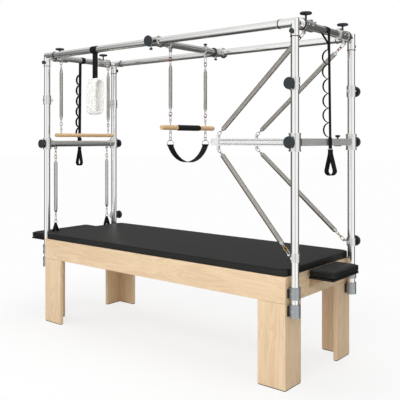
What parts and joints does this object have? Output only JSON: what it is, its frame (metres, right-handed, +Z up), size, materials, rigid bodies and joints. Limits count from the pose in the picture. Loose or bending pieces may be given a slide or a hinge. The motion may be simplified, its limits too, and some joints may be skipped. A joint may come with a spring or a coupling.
{
  "type": "trapeze exercise table",
  "caption": "Padded plywood exercise table with a polished tube frame above it, holding a swinging push-through frame, sprung hanging bars, leg springs and straps.",
  "frame": {"origin": "on the floor, at the middle of the whole length and width, end pads included", "axes": "+Z up; +X along the table to the end with the push-through frame; -Y to the near long side with the fleece loop"},
  "size_m": [2.734, 0.8686, 2.178],
  "materials": {
    "plywood": "clear lacquered light laminate",
    "birch_board": "bare plywood",
    "bar_wood": "clear lacquered turned wood",
    "glide_black": "black moulded",
    "vinyl_mat": "soft satin vinyl",
    "vinyl_pad": "soft satin vinyl",
    "black_steel": "satin black",
    "socket_grey": "grey cast",
    "polished_tube": "polished",
    "satin_tube": "brushed",
    "cast_grey": "fine satin",
    "black_rubber": "matt",
    "knob_slate": "moulded",
    "sleeve_silver": "satin silver",
    "arm_silver": "satin silver",
    "foam_black": "foam",
    "link_steel": "bright",
    "coil_steel": "oiled spring steel",
    "webbing_black": "woven webbing",
    "fleece_white": "deep fleece"
  },
  "bodies": {
    "frame": {"base_rails": "plywood", "leg_posts": "plywood", "leg_glides": "glide_black", "deck_panel": "birch_board", "mattress": "vinyl_mat", "right_pad": "vinyl_pad", "left_pad": "vinyl_pad", "pad_boards": "birch_board", "pad_brackets": "black_steel", "post_sockets": "socket_grey", "socket_plates": "black_steel", "uprights": "polished_tube", "corner_elbows": "polished_tube", "long_rails": "polished_tube", "cross_tubes": "satin_tube", "cross_couplings": "cast_grey", "gasket_rings": "black_rubber", "hook_collars": "cast_grey", "clamp_knobs": "knob_slate", "cross_knobs": "knob_slate", "push_sleeves": "sleeve_silver"},
    "push_frame": {"push_beam": "satin_tube", "push_trim": "black_rubber", "push_arms": "arm_silver", "push_handle": "foam_black"},
    "push_knob_n": {"push_knob_near": "knob_slate"},
    "push_knob_f": {"push_knob_far": "knob_slate"},
    "upper_springs": {"upper_links": "link_steel", "upper_coils": "coil_steel"},
    "upper_tips": {"upper_ends": "link_steel"},
    "lower_springs": {"lower_links": "link_steel", "lower_coils": "coil_steel"},
    "lower_tips": {"lower_ends": "link_steel"},
    "carriage": {"carriage_clamps": "cast_grey", "carriage_tube": "satin_tube", "carriage_trim": "knob_slate"},
    "trapeze_hang": {"trapeze_hangers": "link_steel", "trapeze_springs": "coil_steel"},
    "trapeze": {"trapeze_links": "link_steel", "trapeze_bar": "bar_wood", "trapeze_grip": "foam_black"},
    "sling": {"sling_rings": "link_steel", "sling_band": "webbing_black"},
    "crossbar": {"crossbar_sleeves": "sleeve_silver", "crossbar_tube": "satin_tube", "crossbar_knobs": "knob_slate"},
    "roll_hang": {"roll_hangers": "link_steel", "roll_springs": "coil_steel"},
    "roll_down": {"roll_links": "link_steel", "roll_bar": "bar_wood"},
    "leg_near": {"leg_spring_near": "coil_steel", "leg_cuff_near": "webbing_black"},
    "leg_far": {"leg_spring_far": "coil_steel", "leg_cuff_far": "webbing_black"},
    "fleece": {"fleece_strap": "webbing_black", "fleece_loop": "fleece_white"},
    "strap_r": {"strap_right": "webbing_black"},
    "strap_l": {"strap_left": "webbing_black"}
  },
  "joints": [
    {"name": "push_swing", "type": "hinge", "parent": "frame", "child": "push_frame", "pos_m": [1.217, 0, 1.417], "axis": [0, 1, 0], "range_deg": [-15, 15], "stiffness_Nm_per_rad": 900},
    {"name": "push_knob_near_turn", "type": "hinge", "parent": "frame", "child": "push_knob_n", "pos_m": [1.217, -0.42, 1.417], "axis": [0, 1, 0], "continuous": true},
    {"name": "push_knob_far_turn", "type": "hinge", "parent": "frame", "child": "push_knob_f", "pos_m": [1.217, 0.42, 1.417], "axis": [0, 1, 0], "continuous": true},
    {"name": "upper_spring_swing", "type": "hinge", "parent": "frame", "child": "upper_springs", "pos_m": [1.217, 0, 2.052], "axis": [0, 1, 0], "range_deg": [-15, 15]},
    {"name": "upper_spring_stretch", "type": "slide", "parent": "upper_springs", "child": "upper_tips", "axis": [-0.7441, 0, -0.6681], "range_m": [-0.16, 0.16], "deforming": ["upper_coils"]},
    {"name": "lower_spring_swing", "type": "hinge", "parent": "frame", "child": "lower_springs", "pos_m": [1.173, 0, 0.77], "axis": [0, 1, 0], "range_deg": [-15, 15]},
    {"name": "lower_spring_stretch", "type": "slide", "parent": "lower_springs", "child": "lower_tips", "axis": [-0.7135, 0, 0.7007], "range_m": [-0.16, 0.16], "deforming": ["lower_coils"]},
    {"name": "carriage_slide", "type": "slide", "parent": "frame", "child": "carriage", "axis": [1, 0, 0], "range_m": [-0.42, 0.02]},
    {"name": "trapeze_swing", "type": "hinge", "parent": "carriage", "child": "trapeze_hang", "pos_m": [0.117, 0, 2.052], "axis": [0, 1, 0], "range_deg": [-15, 15]},
    {"name": "trapeze_pull", "type": "slide", "parent": "trapeze_hang", "child": "trapeze", "axis": [0, 0, -1], "range_m": [0, 0.2], "stiffness_N_per_m": 500, "springref_m": -0.08, "deforming": ["trapeze_springs"]},
    {"name": "sling_swing", "type": "hinge", "parent": "trapeze", "child": "sling", "pos_m": [0.117, 0, 1.4785], "axis": [0, 1, 0], "range_deg": [-15, 15]},
    {"name": "crossbar_slide", "type": "slide", "parent": "frame", "child": "crossbar", "axis": [0, 0, 1], "range_m": [0, 0.2]},
    {"name": "leg_near_swing", "type": "hinge", "parent": "crossbar", "child": "leg_near", "pos_m": [-1.063, -0.276, 1.362], "axis": [0, 1, 0], "range_deg": [0, 20]},
    {"name": "leg_far_swing", "type": "hinge", "parent": "crossbar", "child": "leg_far", "pos_m": [-1.063, 0.276, 1.362], "axis": [0, 1, 0], "range_deg": [0, 20]},
    {"name": "roll_swing", "type": "hinge", "parent": "frame", "child": "roll_hang", "pos_m": [-1.02, 0, 2.062], "axis": [0, 1, 0], "range_deg": [-20, 0]},
    {"name": "roll_pull", "type": "slide", "parent": "roll_hang", "child": "roll_down", "axis": [0, 0, -1], "range_m": [0, 0.18], "stiffness_N_per_m": 500, "springref_m": -0.08, "deforming": ["roll_springs"]},
    {"name": "fleece_swing", "type": "hinge", "parent": "frame", "child": "fleece", "pos_m": [-0.487, -0.36, 2.1], "axis": [1, 0, 0], "range_deg": [-20, 20]},
    {"name": "strap_right_swing", "type": "hinge", "parent": "frame", "child": "strap_r", "pos_m": [1.217, 0, 2.1], "axis": [0, 1, 0], "range_deg": [-20, 0]},
    {"name": "strap_left_swing", "type": "hinge", "parent": "frame", "child": "strap_l", "pos_m": [-1.063, 0, 2.1], "axis": [0, 1, 0], "range_deg": [0, 20]}
  ],
  "couplings": [
    {"joint": "upper_spring_swing", "follows": "push_swing", "ratio": 0.5191},
    {"joint": "upper_spring_stretch", "follows": "push_swing", "m_per_rad": -0.4717},
    {"joint": "lower_spring_swing", "follows": "push_swing", "ratio": 0.5082},
    {"joint": "lower_spring_stretch", "follows": "push_swing", "m_per_rad": 0.4916}
  ]
}
